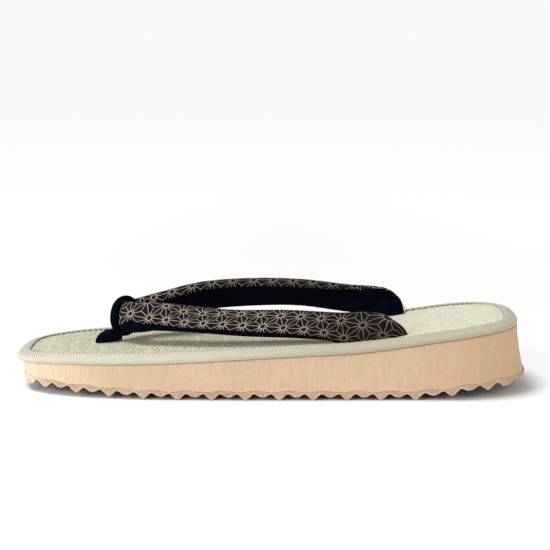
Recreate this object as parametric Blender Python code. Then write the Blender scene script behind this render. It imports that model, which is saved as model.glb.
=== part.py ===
"""Zori sandal: a wedge sole on a rippled outsole, a bound rush mat and a padded two-armed strap.

Metres, +Z up. The toe points along -X, the heel along +X, and the outline is the same on both
sides of the XZ plane. The floor is z = 0 and the origin lies under the middle of the sandal's box.
"""
import math

import bmesh
import bpy
import numpy as np

# Mat outline, seen from above; places are shares of the mat's length, counted from the toe
MAT_LENGTH = 0.2400
BALL_WIDTH = 0.0764
HEEL_WIDTH = 0.0718
BALL_PLACE = 0.39
HEEL_PLACE = 0.86
TOE_ROUNDNESS = (2.53, 3.33)
HEEL_ROUNDNESS = (1.71, 3.18)

# Heights of the bound edge above the floor
TOE_HEIGHT = 0.0172
HEEL_HEIGHT = 0.0356

# Bound mat
BINDING_HEIGHT = 0.0039
BINDING_WIDTH = 0.0080
BINDING_TURN_UNDER = 0.0050
TAPE_THICKNESS = 0.0007
MAT_THICKNESS = 0.0019
CLEARANCE = 0.0003

# Sole under the mat
SOLE_SIDE_INSET = 0.0012
SOLE_TOE_INSET = 0.0030
HEEL_FLARE = 0.0042
FLARE_STARTS = 0.88
FLARE_CURVE = 1.5
TOE_SPRING = 0.0040
TOE_SPRING_CURVE = 1.6
HEEL_SPRING = 0.0048
FLAT_STARTS = 0.320
FLAT_ENDS = 0.765
SPRING_ENDS = 0.985

# Rippled outsole sheet
SHEET_THICKNESS = 0.0041
TOOTH_PITCH = 0.01570
TOOTH_DEPTH = 0.0027
FIRST_TOOTH = 0.0142
JOINT_WAVE = 0.0004
JOINT_WAVE_LAG = 0.30

# Padded strap, a hanao of two arms folded at the front
STRAP_WIDTH = 0.0170
STRAP_THICKNESS = 0.0088
STRAP_RISE = 0.0140
STRAP_SPREAD = 0.0245
STRAP_ROUNDNESS = 2.3
FOLD_PLACE = 0.2150

# Toe thong, a maetsubo: a cord through the mat with a loop round the strap's fold
HOLE_PLACE = 0.1660
CORD_DIAMETER = 0.0062
LOOP_FRONT = 0.0036
LOOP_TOP = 0.0024
LOOP_BACK = 0.0026
LOOP_SLACK = 0.0014
LOOP_WIDTH = 0.0066
LOOP_NARROWS = 0.45
CORD_STANDOFF = 0.0004

# Rise of the bound edge, as a share of the climb from the toe's height to the heel's
TOP_LINE = np.array([
    # place, climb
    (0.00, 0.000),
    (0.10, 0.100),
    (0.23, 0.160),
    (0.34, 0.220),
    (0.46, 0.315),
    (0.57, 0.400),
    (0.68, 0.475),
    (0.75, 0.590),
    (0.85, 0.790),
    (0.93, 0.925),
    (1.00, 1.000),
])

# Half a ripple, from the middle of a large tooth to the middle of the small one beside it
TOOTH_PROFILE = np.array([
    # phase, depth as a share of the large tooth's
    (0.000, 1.00),
    (0.055, 1.00),
    (0.150, 0.42),
    (0.240, 0.00),
    (0.330, 0.12),
    (0.430, 0.50),
    (0.500, 0.52),
])

# Middle line of the strap, from the near arm's rear end round the fold to the far arm's
STRAP_LINE = np.array([
    # place, side, rise over the mat, facing and lean in degrees, width, thickness
    (0.7560, -1.000, -0.620, -90, 5, 0.90, 0.62),
    (0.7510, -1.000, -0.130, -90, 6, 0.90, 0.64),
    (0.7340, -1.000, 0.185, -90, 8, 0.90, 0.66),
    (0.7110, -0.990, 0.430, -91, 12, 0.91, 0.70),
    (0.6610, -0.955, 0.590, -92, 22, 0.92, 0.76),
    (0.5660, -0.925, 0.730, -94, 40, 0.91, 0.92),
    (0.4700, -0.815, 0.815, -99, 50, 0.92, 0.98),
    (0.3700, -0.610, 0.935, -103, 50, 0.92, 0.98),
    (0.2910, -0.410, 0.975, -107, 34, 0.90, 0.92),
    (0.2480, -0.310, 0.945, -116, 18, 0.88, 0.80),
    (FOLD_PLACE, 0.000, 0.930, -180, 8, 0.86, 0.70),
    (0.2480, 0.310, 0.975, -244, 16, 0.88, 0.80),
    (0.2910, 0.420, 1.120, -253, 24, 0.92, 0.90),
    (0.3700, 0.630, 1.320, -257, 30, 0.98, 0.96),
    (0.4700, 0.830, 1.290, -261, 33, 0.98, 0.98),
    (0.5660, 0.940, 1.150, -266, 34, 0.95, 0.94),
    (0.6610, 0.970, 0.870, -268, 24, 0.92, 0.78),
    (0.7180, 0.990, 0.600, -269, 12, 0.90, 0.70),
    (0.7410, 1.000, 0.400, -270, 8, 0.90, 0.66),
    (0.7510, 1.000, 0.100, -270, 6, 0.90, 0.64),
    (0.7520, 1.000, -0.480, -270, 5, 0.90, 0.62),
])

# Middle line of the cord between the mat and the loop
CORD_LINE = np.array([
    # way behind the hole, rise over the mat and thickness, as shares of the cord's diameter
    (0.00, 0.10, 1.00),
    (0.12, 0.34, 1.00),
    (0.50, 0.54, 0.96),
    (1.05, 0.60, 0.76),
    (1.60, 0.60, 0.58),
])

# Binding section: inset from the edge as a share of its width, drop as a share of its height
BINDING_OUTSIDE = np.array([
    # inset, drop
    (1.00, 0.02),
    (0.55, 0.00),
    (0.20, 0.02),
    (0.05, 0.13),
    (0.00, 0.38),
    (0.00, 0.68),
    (0.05, 0.91),
    (0.17, 1.00),
])

# Walls of the two sole layers, from the top of each one down
OUTSOLE_WALL = (
    # share of the sole's whole flare, share of the sheet's height
    (0.88, 0.0),
    (0.94, 0.5),
    (1.00, 1.0),
)
MIDSOLE_WALL = (
    # share of the sole's whole flare, share of the wedge's height
    (0.00, 0.00),
    (0.30, 0.35),
    (0.60, 0.70),
    (0.87, 1.00),
)

# How the surfaces are divided
END_SHARE = 0.20
END_CROWDING = 2.4
TOE_STEPS = 11
HEEL_STEPS = 12
SIDE_STEPS = 17
SOLE_END_SHARE = 0.05
SOLE_END_CROWDING = 2.0
SOLE_END_STEPS = 9
CORNER_SPACING = 0.0012
SECTION_SIDES = 20
SECTIONS_PER_ROW = 3
SLOT_SECTIONS = 4 * SECTIONS_PER_ROW + 1
LOOP_SECTIONS = 24
LOOP_SIDES = 12
CORD_STEPS = 3
HOLE_SIDES = 24

TOE_END = -(MAT_LENGTH + HEEL_FLARE) / 2
MAT_DROP = TAPE_THICKNESS + CLEARANCE
SOLE_LENGTH = MAT_LENGTH - SOLE_TOE_INSET


def smooth_step(share):
    share = np.clip(share, 0.0, 1.0)
    return share * share * (3 - 2 * share)


def smooth_table(table, keys, column):
    """Read one column of a table by its first one, along a curve without overshoot."""
    x, y = table[:, 0], table[:, column]
    chord = np.diff(y) / np.diff(x)
    slope = np.concatenate([[chord[0]], (chord[1:] + chord[:-1]) / 2, [chord[-1]]])
    slope[1:-1][chord[1:] * chord[:-1] <= 0] = 0
    row = np.clip(np.searchsorted(x, keys, side="right") - 1, 0, len(chord) - 1)
    step = x[row + 1] - x[row]
    t = (keys - x[row]) / step
    blend = t * t * (3 - 2 * t)
    start = slope[row] * step * (t ** 3 - 2 * t ** 2 + t)
    end = slope[row + 1] * step * (t ** 3 - t ** 2)
    return y[row] * (1 - blend) + y[row + 1] * blend + start + end


def half_width(place, ball_width, heel_width):
    """Half the outline's width at each place."""
    ball, heel = ball_width / 2, heel_width / 2
    toe_reach = np.clip(1 - place / BALL_PLACE, 0, 1) ** TOE_ROUNDNESS[0]
    heel_reach = np.clip((place - HEEL_PLACE) / (1 - HEEL_PLACE), 0, 1) ** HEEL_ROUNDNESS[0]
    front = ball * (1 - toe_reach) ** (1 / TOE_ROUNDNESS[1])
    waist = ball + (heel - ball) * smooth_step((place - BALL_PLACE) / (HEEL_PLACE - BALL_PLACE))
    back = heel * (1 - heel_reach) ** (1 / HEEL_ROUNDNESS[1])
    return np.where(place < BALL_PLACE, front, np.where(place < HEEL_PLACE, waist, back))


def end_places(count, length_share, crowding):
    """Places that crowd towards an end of the outline, from 0 up to a share of the length."""
    return length_share * (np.arange(count) / count) ** crowding


def mat_places():
    """Places along the mat, close together where its outline turns."""
    toe = end_places(TOE_STEPS, END_SHARE, END_CROWDING)
    heel = 1 - end_places(HEEL_STEPS, END_SHARE, END_CROWDING)[::-1]
    return np.concatenate([toe, np.linspace(END_SHARE, 1 - END_SHARE, SIDE_STEPS), heel])


def ring(places, x, half):
    """One closed loop of outline points: down the near side, back up the far one."""
    near = np.column_stack([x, -half])
    far = np.column_stack([x[-2:0:-1], half[-2:0:-1]])
    return np.vstack([near, far])


def mat_ring(inset):
    """The mat's outline, moved inwards by a distance."""
    places = mat_places()
    points = ring(places, TOE_END + places * MAT_LENGTH, half_width(places, BALL_WIDTH, HEEL_WIDTH))
    edge = np.roll(points, -1, axis=0) - points
    edge /= np.linalg.norm(edge, axis=1)[:, None]
    outward = np.column_stack([edge[:, 1], -edge[:, 0]])
    outward += np.roll(outward, 1, axis=0)
    outward /= np.linalg.norm(outward, axis=1)[:, None]
    return points - outward * inset


def top_height(x):
    """Height of the bound edge's top at a point along the sandal."""
    place = np.clip((x - TOE_END) / MAT_LENGTH, 0, 1)
    climb = smooth_table(TOP_LINE, place, 1)
    return TOE_HEIGHT + (HEEL_HEIGHT - TOE_HEIGHT) * climb


def mat_height(x):
    """Height of the rush mat's upper face."""
    return top_height(x) - MAT_DROP


def sole_lift(place):
    """Rise of the tread's lowest plane: nothing under the foot, toe spring and heel spring past it."""
    toe = np.clip((FLAT_STARTS - place) / FLAT_STARTS, 0, 1) ** TOE_SPRING_CURVE
    heel = smooth_step((place - FLAT_ENDS) / (SPRING_ENDS - FLAT_ENDS))
    return TOE_SPRING * toe + HEEL_SPRING * heel


def tooth_phase(place):
    """Distance from the nearest large tooth, in pitches, signed towards the heel."""
    turns = (place * SOLE_LENGTH - FIRST_TOOTH) / TOOTH_PITCH
    return turns - np.round(turns)


def tread_height(place):
    """Height of the rippled underside."""
    depth = np.interp(np.abs(tooth_phase(place)), TOOTH_PROFILE[:, 0], TOOTH_PROFILE[:, 1])
    return sole_lift(place) + TOOTH_DEPTH * (1 - depth)


def joint_height(place):
    """Height of the wavy joint between the outsole sheet and the midsole."""
    turns = (place * SOLE_LENGTH - FIRST_TOOTH) / TOOTH_PITCH
    wave = JOINT_WAVE * np.cos(2 * math.pi * (turns - JOINT_WAVE_LAG))
    return sole_lift(place) + SHEET_THICKNESS + wave


def sole_places():
    """Places along the sole: each corner of the ripple, and more where the outline turns."""
    first = math.floor(-FIRST_TOOTH / TOOTH_PITCH)
    last = math.ceil(SOLE_LENGTH / TOOTH_PITCH)
    corners = []
    for tooth in range(first, last + 1):
        for phase in TOOTH_PROFILE[1:-1, 0]:
            for side in (-1, 1):
                corners.append((FIRST_TOOTH + (tooth + side * phase) * TOOTH_PITCH) / SOLE_LENGTH)
    toe = end_places(SOLE_END_STEPS, SOLE_END_SHARE, SOLE_END_CROWDING)
    ends = np.concatenate([toe, 1 - toe])
    kept = [place for place in corners
            if 0 < place < 1 and np.min(np.abs(ends - place)) > CORNER_SPACING]
    return np.unique(np.round(np.concatenate([ends, kept, [0.0, 1.0]]), 6))


def sole_ring(places, down):
    """The sole's outline at a share of the way down its wall, flared out behind the heel."""
    flare = HEEL_FLARE * down ** FLARE_CURVE
    stretch = np.clip((places - FLARE_STARTS) / (1 - FLARE_STARTS), 0, 1) ** 2
    x = TOE_END + SOLE_TOE_INSET + places * SOLE_LENGTH + flare * stretch
    half = half_width(places, BALL_WIDTH - 2 * SOLE_SIDE_INSET, HEEL_WIDTH - 2 * SOLE_SIDE_INSET)
    return ring(places, x, half)


def around(values):
    """Values at the places along one side, repeated for the whole loop."""
    return np.concatenate([values, values[-2:0:-1]])


def lift_ring(points, heights):
    return np.column_stack([points, heights])


def add_faces_across(mesh, verts, flip):
    """Close a loop with strips that run straight across the sandal."""
    count = len(verts)
    for i in range(count // 2):
        corners = [verts[i], verts[i + 1], verts[count - i - 1], verts[(count - i) % count]]
        strip = list(dict.fromkeys(corners))
        mesh.faces.new(strip[::-1] if flip else strip)


def add_wall(mesh, upper, lower):
    count = len(upper)
    for i in range(count):
        j = (i + 1) % count
        mesh.faces.new([upper[i], upper[j], lower[j], lower[i]])


def add_loops(mesh, loops):
    rows = [[mesh.verts.new(point) for point in loop] for loop in loops]
    for upper, lower in zip(rows[:-1], rows[1:]):
        add_wall(mesh, upper, lower)
    return rows


def finish_object(name, mesh, collection, smooth_angle=40):
    """Turn a bmesh into a named object with its faces pointing out."""
    bmesh.ops.recalc_face_normals(mesh, faces=mesh.faces)
    data = bpy.data.meshes.new(name)
    mesh.to_mesh(data)
    mesh.free()
    data.shade_smooth()
    data.set_sharp_from_angle(angle=math.radians(smooth_angle))
    piece = bpy.data.objects.new(name, data)
    collection.objects.link(piece)
    return piece


def slab(name, loops, collection, smooth_angle=40):
    """A solid between an upper and a lower outline, with walls through the loops between."""
    mesh = bmesh.new()
    rows = add_loops(mesh, loops)
    add_faces_across(mesh, rows[0], False)
    add_faces_across(mesh, rows[-1], True)
    return finish_object(name, mesh, collection, smooth_angle)


def loft(name, sections, collection, closed=False, smooth_angle=60):
    """A solid through sections, with flat ends or joined end to end."""
    mesh = bmesh.new()
    rows = add_loops(mesh, sections)
    if closed:
        add_wall(mesh, rows[-1], rows[0])
    else:
        mesh.faces.new(rows[0])
        mesh.faces.new(rows[-1][::-1])
    return finish_object(name, mesh, collection, smooth_angle)


def hull(name, sections, collection):
    """The smallest solid without hollows round some sections."""
    mesh = bmesh.new()
    for point in np.vstack(sections):
        mesh.verts.new(point)
    inner = bmesh.ops.convex_hull(mesh, input=mesh.verts)["geom_interior"]
    bmesh.ops.delete(mesh, geom=inner, context="VERTS")
    return finish_object(name, mesh, collection)


def hide_cutter(piece):
    piece.hide_render = True
    piece.display_type = "WIRE"


def add_boolean(piece, cutter, operation):
    change = piece.modifiers.new(operation.title() + " " + cutter.name, "BOOLEAN")
    change.operation = operation
    change.solver = "EXACT"
    change.object = cutter
    hide_cutter(cutter)


def paint(piece, colour, roughness, sheen=0.0):
    """Give a piece its own material."""
    material = bpy.data.materials.new(piece.name)
    material.use_nodes = True
    shader = material.node_tree.nodes["Principled BSDF"]
    shader.inputs["Base Color"].default_value = (*colour, 1.0)
    shader.inputs["Roughness"].default_value = roughness
    shader.inputs["Sheen Weight"].default_value = sheen
    shader.inputs["Metallic"].default_value = 0.0
    piece.data.materials.append(material)


def make_outsole(collection):
    """Rippled sheet: the walls follow the sole's outline, the teeth run straight across."""
    places = sole_places()
    joint = joint_height(places) - CLEARANCE / 2
    tread = tread_height(places)
    loops = []
    for down, share in OUTSOLE_WALL:
        heights = joint + (tread - joint) * share
        loops.append(lift_ring(sole_ring(places, down), around(heights)))
    piece = slab("outsole", loops, collection, 20)
    paint(piece, (0.62, 0.42, 0.29), 0.75)
    return piece


def make_midsole(collection):
    """Wedge between the mat and the outsole, its rear wall flared."""
    places = sole_places()
    joint = joint_height(places) + CLEARANCE / 2
    loops = []
    for down, share in MIDSOLE_WALL:
        outline = sole_ring(places, down)
        roof = top_height(outline[:, 0]) - BINDING_HEIGHT - CLEARANCE
        loops.append(lift_ring(outline, roof + (around(joint) - roof) * share))
    piece = slab("midsole", loops, collection)
    paint(piece, (0.75, 0.55, 0.37), 0.7)
    return piece


def make_insole_mat(collection):
    """Rush mat: a thin flange held in the binding, a thicker middle down to the midsole."""
    edge = TAPE_THICKNESS + 2 * CLEARANCE
    middle = BINDING_TURN_UNDER + CLEARANCE
    levels = (
        # inset, drop below the bound edge
        (edge, MAT_DROP),
        (edge, MAT_DROP + MAT_THICKNESS),
        (middle, MAT_DROP + MAT_THICKNESS),
        (middle, BINDING_HEIGHT),
    )
    loops = []
    for inset, drop in levels:
        outline = mat_ring(inset)
        loops.append(lift_ring(outline, top_height(outline[:, 0]) - drop))
    piece = slab("insole_mat", loops, collection)
    paint(piece, (0.58, 0.58, 0.37), 0.8)
    return piece


def make_edge_binding(collection):
    """Folded tape: a C section round the mat's edge, swept along the outline."""
    outside = BINDING_OUTSIDE * (BINDING_WIDTH, BINDING_HEIGHT)
    inner_end = TAPE_THICKNESS + CLEARANCE
    inside = (
        # inset, drop
        (BINDING_TURN_UNDER, BINDING_HEIGHT),
        (BINDING_TURN_UNDER, BINDING_HEIGHT - TAPE_THICKNESS),
        (inner_end, BINDING_HEIGHT - TAPE_THICKNESS),
        (inner_end, TAPE_THICKNESS),
        (BINDING_WIDTH, TAPE_THICKNESS),
    )
    loops = []
    for inset, drop in np.vstack([outside, inside]):
        outline = mat_ring(inset)
        loops.append(lift_ring(outline, top_height(outline[:, 0]) - drop))
    piece = loft("edge_binding", loops, collection, closed=True, smooth_angle=50)
    paint(piece, (0.75, 0.74, 0.60), 0.85)
    return piece


def curve_through(points, steps):
    """Points on a smooth curve through given ones, with the same number of steps between each."""
    padded = np.vstack([2 * points[0] - points[1], points, 2 * points[-1] - points[-2]])
    line = []
    for i in range(len(points) - 1):
        a, b, c, d = padded[i:i + 4]
        for step in range(steps):
            t = step / steps
            line.append(0.5 * (2 * b + (c - a) * t + (2 * a - 5 * b + 4 * c - d) * t ** 2
                               + (3 * b - a - 3 * c + d) * t ** 3))
    line.append(points[-1])
    return np.array(line)


def strap_rows():
    """The strap's middle line: point, facing, lean, width and thickness, in metres and radians."""
    rows = curve_through(STRAP_LINE, SECTIONS_PER_ROW)
    x = TOE_END + rows[:, 0] * MAT_LENGTH
    y = rows[:, 1] * STRAP_SPREAD
    z = mat_height(x) + rows[:, 2] * STRAP_RISE
    facing, lean = np.radians(rows[:, 3:5]).T
    width = rows[:, 5] * STRAP_WIDTH
    thickness = rows[:, 6] * STRAP_THICKNESS
    return np.column_stack([x, y, z, facing, lean, width, thickness])


def strap_frame(direction, facing, lean):
    """Unit vectors across the strap: along its width, and out through its printed face."""
    outward = np.array([math.cos(facing), math.sin(facing), 0.0])
    outward -= direction * np.dot(outward, direction)
    outward /= np.linalg.norm(outward)
    upward = np.cross(direction, outward)
    along_width = math.cos(lean) * upward - math.sin(lean) * outward
    through = math.cos(lean) * outward + math.sin(lean) * upward
    return along_width, through


def rounded(values):
    """Sines and cosines filled out from an ellipse to the strap's rounder section."""
    return np.sign(values) * np.abs(values) ** (2 / STRAP_ROUNDNESS)


def strap_sections(extra):
    """Rounded flat sections across the strap, larger by a clearance on every side."""
    rows = strap_rows()
    directions = np.gradient(rows[:, :3], axis=0)
    directions /= np.linalg.norm(directions, axis=1)[:, None]
    angles = 2 * math.pi * np.arange(SECTION_SIDES) / SECTION_SIDES
    across = rounded(np.cos(angles))
    depth = rounded(np.sin(angles))
    sections = []
    for row, direction in zip(rows, directions):
        facing, lean, width, thickness = row[3:]
        along_width, through = strap_frame(direction, facing, lean)
        wide = across[:, None] * along_width * (width / 2 + extra)
        thick = depth[:, None] * through * (thickness / 2 + extra)
        sections.append(row[:3] + wide + thick)
    return sections


def make_under_mat(collection):
    """Everything below the mat's underside, which the strap stops at."""
    loops = []
    for drop in (BINDING_HEIGHT, BINDING_HEIGHT + STRAP_WIDTH):
        outline = mat_ring(CLEARANCE)
        loops.append(lift_ring(outline, top_height(outline[:, 0]) - drop))
    return slab("under_mat", loops, collection)


def make_hanao_strap(collection, cutters):
    """Both arms in one piece; their rear ends go down through the mat."""
    piece = loft("hanao_strap", strap_sections(0.0), collection)
    add_boolean(piece, make_under_mat(cutters), "DIFFERENCE")
    paint(piece, (0.035, 0.028, 0.032), 0.9, 0.4)
    return piece


def fold_frame():
    """Place, half width, half thickness and lean of the strap where it folds."""
    rows = strap_rows()
    fold = rows[np.argmin(rows[:, 0])]
    return fold[:3], fold[5] / 2, fold[6] / 2, fold[4]


def loop_sections():
    """Sections round the loop that holds the strap's fold: thick in front, slim in the arms' gap."""
    centre, half_wide, half_thick, lean = fold_frame()
    upward = np.array([math.sin(lean), 0.0, math.cos(lean)])
    forward = np.array([-math.cos(lean), 0.0, math.sin(lean)])
    sections = []
    for angle in 2 * math.pi * np.arange(LOOP_SECTIONS) / LOOP_SECTIONS:
        front = max(0.0, math.cos(angle))
        back = max(0.0, -math.cos(angle))
        edge = math.sin(angle) ** 2
        thickness = LOOP_FRONT * front ** 2 + LOOP_BACK * back ** 2 + LOOP_TOP * edge
        width = LOOP_WIDTH + (LOOP_BACK - LOOP_WIDTH) * smooth_step(LOOP_NARROWS + back)
        reach_out = half_thick + CLEARANCE + thickness / 2 + LOOP_SLACK * back
        reach_up = half_wide + CLEARANCE + thickness / 2
        along, across = rounded(np.array([math.cos(angle), math.sin(angle)]))
        middle = centre + forward * reach_out * along + upward * reach_up * across
        outward = (forward * math.cos(angle) * reach_up + upward * math.sin(angle) * reach_out)
        outward /= np.linalg.norm(outward)
        turns = 2 * math.pi * np.arange(LOOP_SIDES) / LOOP_SIDES
        sections.append(middle + np.outer(np.cos(turns), outward) * thickness / 2
                        + np.outer(np.sin(turns), [0.0, 1.0, 0.0]) * width / 2)
    return sections


def hole_x():
    return TOE_END + HOLE_PLACE * MAT_LENGTH


def make_cord(collection):
    """Round cord from the midsole's top up through the mat, bent back under the loop."""
    mat = mat_height(hole_x())
    midsole = top_height(hole_x()) - BINDING_HEIGHT - CLEARANCE
    points = [(hole_x(), 0.0, midsole + CORD_STANDOFF, 1.0)]
    for back, up, thickness in curve_through(CORD_LINE, CORD_STEPS):
        x = hole_x() + back * CORD_DIAMETER
        points.append((x, 0.0, mat + up * CORD_DIAMETER, thickness))
    curve = bpy.data.curves.new("cord", "CURVE")
    curve.dimensions = "3D"
    curve.bevel_depth = CORD_DIAMETER / 2
    curve.bevel_resolution = 3
    curve.use_fill_caps = True
    spline = curve.splines.new("POLY")
    spline.points.add(len(points) - 1)
    for target, point in zip(spline.points, points):
        target.co = (*point[:3], 1.0)
        target.radius = point[3]
    guide = bpy.data.objects.new("cord", curve)
    collection.objects.link(guide)
    bpy.context.view_layer.update()
    shape = guide.evaluated_get(bpy.context.evaluated_depsgraph_get())
    mesh = bmesh.new()
    data = bpy.data.meshes.new_from_object(shape)
    mesh.from_mesh(data)
    bpy.data.meshes.remove(data)
    bmesh.ops.remove_doubles(mesh, verts=mesh.verts, dist=0.00001)
    bpy.data.objects.remove(guide)
    return finish_object("toe_thong", mesh, collection)


def make_toe_thong(collection, cutters):
    """Velvet cord and loop in one piece."""
    piece = make_cord(collection)
    add_boolean(piece, loft("thong_loop", loop_sections(), cutters, closed=True), "UNION")
    paint(piece, (0.010, 0.010, 0.028), 0.95, 0.6)
    return piece


def cut_mat_openings(mat, cutters):
    """A round hole for the cord and two slots for the strap's ends."""
    bpy.ops.mesh.primitive_cylinder_add(
        vertices=HOLE_SIDES,
        radius=CORD_DIAMETER / 2 + CLEARANCE,
        depth=4 * BINDING_HEIGHT,
        location=(hole_x(), 0.0, mat_height(hole_x())),
    )
    hole = bpy.context.object
    hole.name = "cord_hole"
    for owner in hole.users_collection:
        owner.objects.unlink(hole)
    cutters.objects.link(hole)
    add_boolean(mat, hole, "DIFFERENCE")
    sections = strap_sections(CLEARANCE)
    for side, arm in (("near", sections[:SLOT_SECTIONS]), ("far", sections[-SLOT_SECTIONS:])):
        add_boolean(mat, hull(side + "_slot", arm, cutters), "DIFFERENCE")


def clear_scene():
    for item in list(bpy.data.objects):
        bpy.data.objects.remove(item)


def main():
    clear_scene()
    sandal = bpy.data.collections.new("zori_sandal")
    cutters = bpy.data.collections.new("cutters")
    for collection in (sandal, cutters):
        bpy.context.scene.collection.children.link(collection)
    make_outsole(sandal)
    make_midsole(sandal)
    mat = make_insole_mat(sandal)
    make_edge_binding(sandal)
    make_hanao_strap(sandal, cutters)
    make_toe_thong(sandal, cutters)
    cut_mat_openings(mat, cutters)


main()
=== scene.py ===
# %% [markdown]
# # A zori sandal
# The real sandal is put together from six pieces: a rippled foam outsole, a foam wedge, a woven rush mat,
# a twill tape folded round the mat's edge, a padded strap with two arms, and a velvet cord between the toes.
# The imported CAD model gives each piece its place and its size. This lesson dresses the pieces one by one.

import math
import random

import bpy
import numpy as np
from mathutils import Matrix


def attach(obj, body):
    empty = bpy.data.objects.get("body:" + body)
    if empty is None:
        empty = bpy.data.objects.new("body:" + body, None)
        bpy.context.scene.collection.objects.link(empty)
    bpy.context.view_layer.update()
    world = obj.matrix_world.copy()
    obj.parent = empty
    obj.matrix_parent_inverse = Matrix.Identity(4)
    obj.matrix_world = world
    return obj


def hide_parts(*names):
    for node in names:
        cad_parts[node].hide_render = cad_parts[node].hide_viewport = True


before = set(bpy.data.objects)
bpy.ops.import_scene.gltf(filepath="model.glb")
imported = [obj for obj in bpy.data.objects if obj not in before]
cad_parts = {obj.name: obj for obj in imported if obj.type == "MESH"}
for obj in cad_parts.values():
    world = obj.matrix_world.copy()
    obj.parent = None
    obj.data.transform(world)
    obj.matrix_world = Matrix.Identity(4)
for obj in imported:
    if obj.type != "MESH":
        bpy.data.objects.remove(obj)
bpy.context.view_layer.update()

# %% [markdown]
# ## Camera, floor and light
# The picture is a studio shot from the side and a little above, with a long lens. A white floor that runs
# into a white world gives the pale ground. The big soft lamp stands at the toe's side, so the heel's wall is
# darker, and the sky light that can't reach under the sole leaves its soft contact shadow.

# %% Camera at the photograph's angle
CAMERA_PLACE = (0.01685, -0.66256, 0.17006)
CAMERA_TURN = (79.93, 0.0, 1.2716)
LENS = 91.47
SENSOR_WIDTH = 36.0

camera_data = bpy.data.cameras.new("camera")
camera_data.lens = LENS
camera_data.sensor_width = SENSOR_WIDTH
camera = bpy.data.objects.new("camera", camera_data)
camera.location = CAMERA_PLACE
camera.rotation_euler = [math.radians(angle) for angle in CAMERA_TURN]
bpy.context.scene.collection.objects.link(camera)
bpy.context.scene.camera = camera
bpy.context.scene.view_settings.view_transform = "Standard"

# %% [markdown]
# ## Finishes as arithmetic
# A finish on a real piece is a few simple things at once: a colour, a lighter one in patches, a darker one in
# the grooves. In Blender each of these is a node. Two small classes let the lesson write them as sums: a
# Finish adds the nodes, and a Number is what one of them works out at each point of the surface.

# %% What a node works out
class Number:
    """What a node works out at each point; arithmetic on it adds Math nodes."""

    def __init__(self, finish, socket):
        self.finish = finish
        self.socket = socket

    def calculate(self, operation, *others):
        return self.finish.calculate(operation, self, *others)

    def between(self, low, high):
        """0 at the low value and past it, 1 at the high one and past it, smooth between."""
        return self.finish.node("MapRange", {"Value": self, "From Min": low, "From Max": high}, "Result",
                                interpolation_type="SMOOTHSTEP")

    def __add__(self, other):
        return self.calculate("ADD", other)

    def __sub__(self, other):
        return self.calculate("SUBTRACT", other)

    def __rsub__(self, other):
        return self.finish.calculate("SUBTRACT", other, self)

    def __mul__(self, other):
        return self.calculate("MULTIPLY", other)

    def __abs__(self):
        return self.calculate("ABSOLUTE")


# %% A finish
class Finish:
    """A material: most methods add nodes and give back what they work out."""

    def __init__(self, name, roughness, sheen=0.0, specular=0.5):
        self.material = bpy.data.materials.new(name)
        self.material.use_nodes = True
        self.shader = self.material.node_tree.nodes["Principled BSDF"]
        self.set(Roughness=roughness, Sheen_Weight=sheen, Specular_IOR_Level=specular)

    def set(self, **constants):
        """Set fixed values on the shader."""
        for name, value in constants.items():
            self.shader.inputs[name.replace("_", " ")].default_value = value

    def feed(self, socket, value):
        """Give an input what a node works out, or a plain value."""
        if isinstance(value, Number):
            self.material.node_tree.links.new(value.socket, socket)
        else:
            socket.default_value = value

    def node(self, kind, values=(), output=0, **settings):
        """Add a node with its settings and inputs, and give back one of its outputs."""
        node = self.material.node_tree.nodes.new("ShaderNode" + kind)
        for key, value in settings.items():
            setattr(node, key, value)
        for socket, value in dict(values).items():
            self.feed(node.inputs[socket], value)
        return Number(self, node.outputs[output])

    def calculate(self, operation, *terms):
        return self.node("Math", dict(enumerate(terms)), operation=operation)

    def places(self, stretch=(1.0, 1.0, 1.0)):
        """Object coordinates, stretched so that a noise grows longer one way."""
        return self.node("Mapping", {"Vector": self.node("TexCoord", output="Object"), "Scale": stretch})

    def split(self, place):
        """The X, Y and Z of a place."""
        first = self.node("SeparateXYZ", {"Vector": place})
        return [Number(self, socket) for socket in first.socket.node.outputs]

    def uv_parts(self):
        """The two UV coordinates, which the pieces below hold in millimetres."""
        return self.split(self.node("UVMap"))[:2]

    def noise(self, places, scale, detail=2.0, roughness=0.5):
        values = {"Vector": places, "Scale": scale, "Detail": detail, "Roughness": roughness}
        return self.node("TexNoise", values, "Fac")

    def mix(self, share, first, second):
        """First where the share is 0, second where it is 1."""
        first, second = (colour if isinstance(colour, Number) else (*colour, 1.0) for colour in (first, second))
        return self.node("Mix", {0: share, 6: first, 7: second}, 2, data_type="RGBA")

    def layered(self, colour, *layers):
        """A colour with others laid over it in turn, each by its share."""
        for share, over in layers:
            colour = self.mix(share, colour, over)
        return colour

    def coat(self, colour, relief, height, strength=1.0):
        """Give the shader its colour and a relief of a height in metres."""
        bump = self.node("Bump", {"Height": relief, "Distance": height, "Strength": strength}, "Normal")
        self.feed(self.shader.inputs["Base Color"], colour)
        self.feed(self.shader.inputs["Normal"], bump)


# %% Floor and sky
FLOOR_HALF = 40.0
FLOOR_DROP = 0.0002
GLOW_REACH = (0.25, 0.90)
FAR_GLOW = 0.125
SKY_LIGHT = 0.33
SKY_SEEN = 0.955

bpy.ops.object.select_all(action="DESELECT")
bpy.ops.mesh.primitive_plane_add(size=2 * FLOOR_HALF, location=(0.0, 0.0, -FLOOR_DROP))
floor = bpy.context.object
floor.name = "studio_floor"
paper = Finish("studio_paper", 0.9, specular=0.1)
paper.set(Base_Color=(0.945, 0.945, 0.94, 1.0), Emission_Color=(1.0, 1.0, 1.0, 1.0))
paper_x, paper_y, _ = paper.split(paper.places())
distance = abs(paper_x) + abs(paper_y)
paper.feed(paper.shader.inputs["Emission Strength"], distance.between(*GLOW_REACH) * FAR_GLOW)
floor.data.materials.append(paper.material)

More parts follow.
